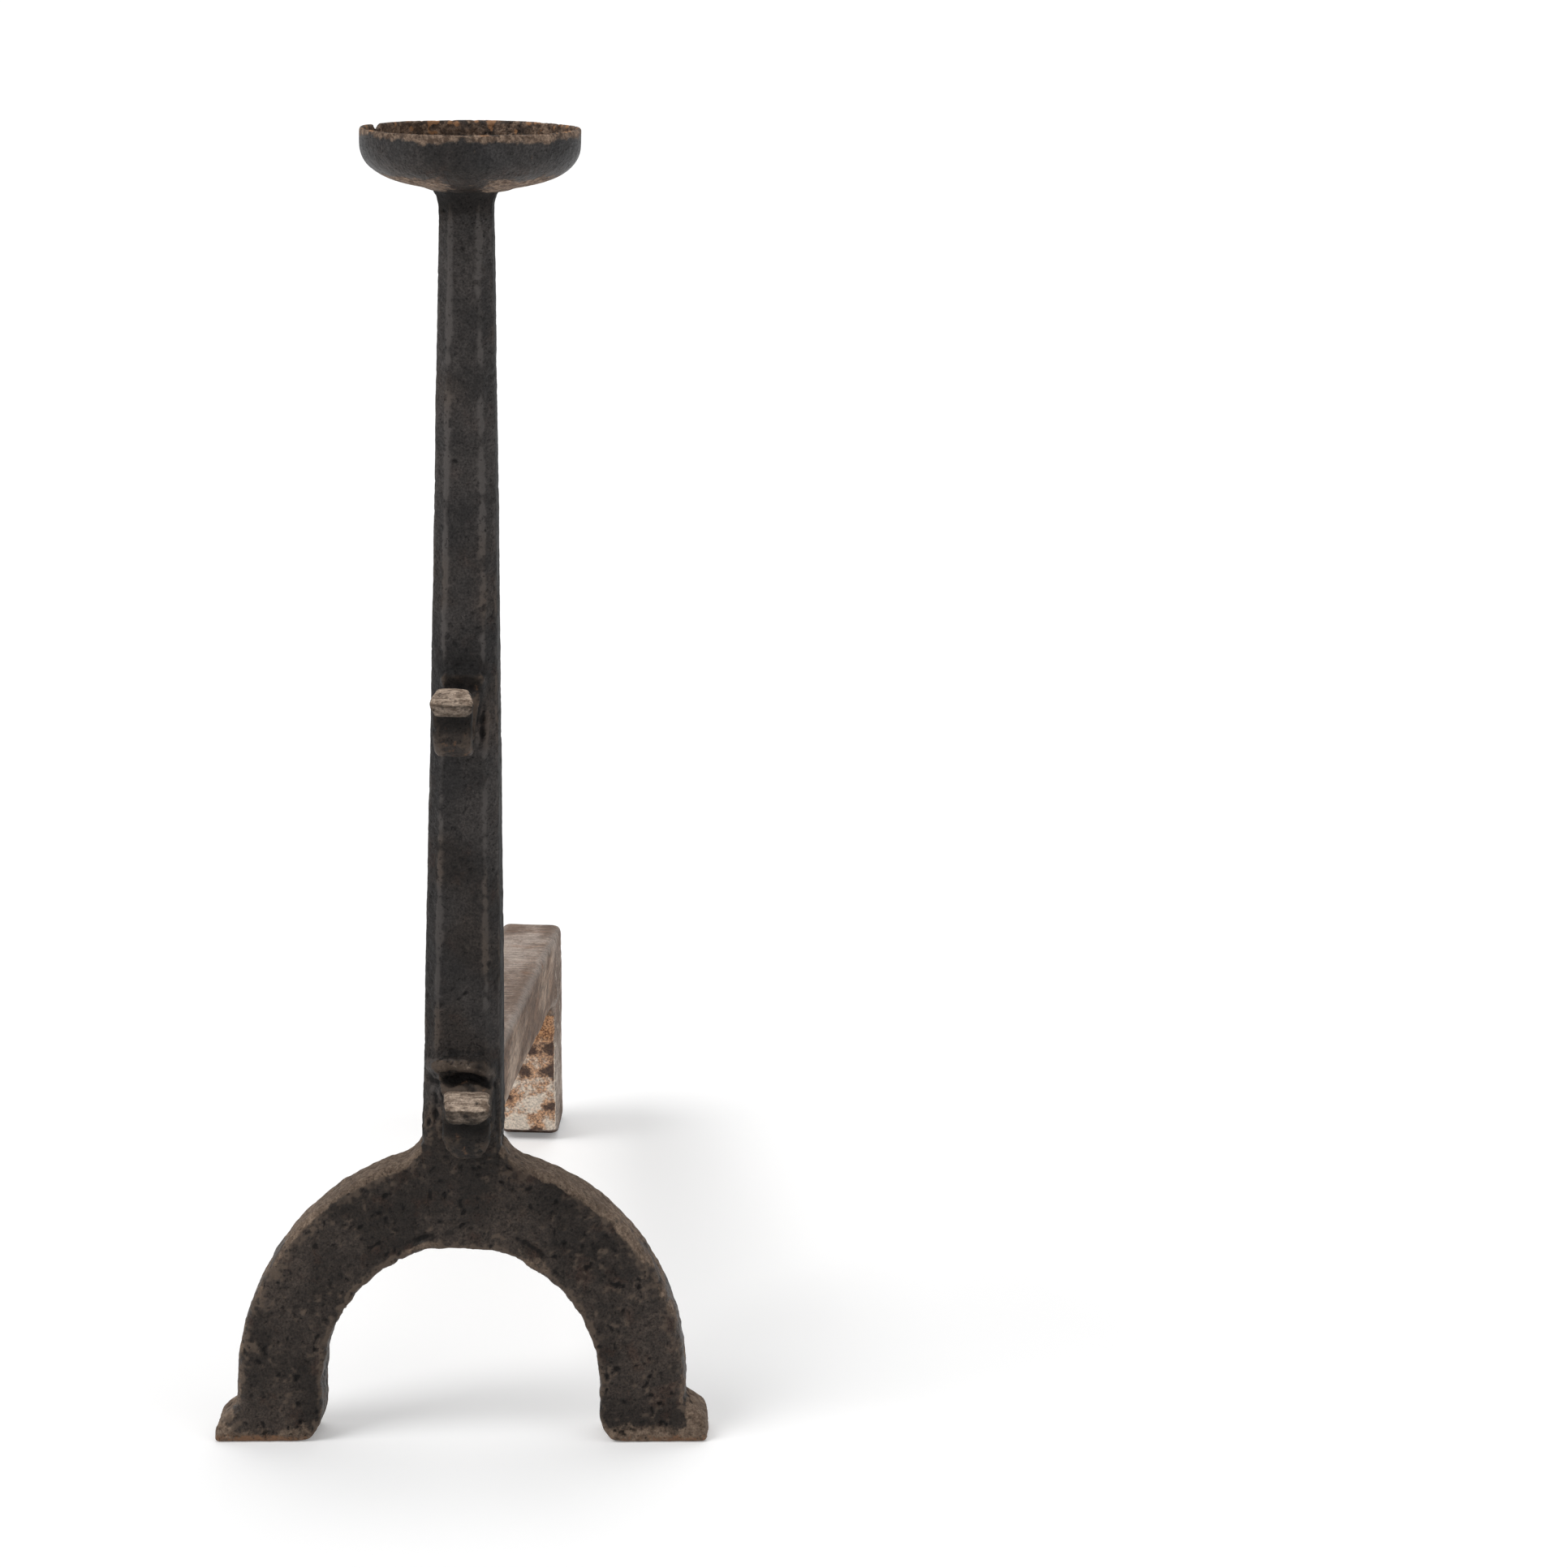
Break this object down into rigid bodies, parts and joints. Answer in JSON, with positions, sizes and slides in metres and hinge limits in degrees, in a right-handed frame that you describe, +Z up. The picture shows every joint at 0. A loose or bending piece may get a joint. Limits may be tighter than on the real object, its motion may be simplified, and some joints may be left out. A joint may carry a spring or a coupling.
{
  "type": "spit andiron with cresset cup",
  "caption": "Forged-iron fire dog: arched front legs, tall tapering standard with a raised cup, spit hooks on its face and a log bar turned down as the rear leg.",
  "frame": {"origin": "on the floor, under the middle of the bounding box", "axes": "+Z up along the standard, +X to the right seen from the room, -Y towards the room, so the billet bar runs back along +Y"},
  "size_m": [0.2622, 0.6146, 0.695],
  "materials": {
    "black_iron": "blackened forged iron, finely pitted, with soft brown wear along the edges",
    "cup_iron": "blackened sheet iron with a bare, rusty rim and rust inside the bowl",
    "worn_iron": "blackened iron rubbed to pale grey-brown metal on the lips of the hooks",
    "fire_scaled_iron": "dry grey-brown fire scale with ash-white and orange rust patches"
  },
  "bodies": {
    "root": {"standard": "black_iron", "left_leg": "black_iron", "right_leg": "black_iron", "cup": "cup_iron", "upper_hook": "worn_iron", "lower_hook": "worn_iron", "billet_bar": "fire_scaled_iron"}
  },
  "joints": []
}
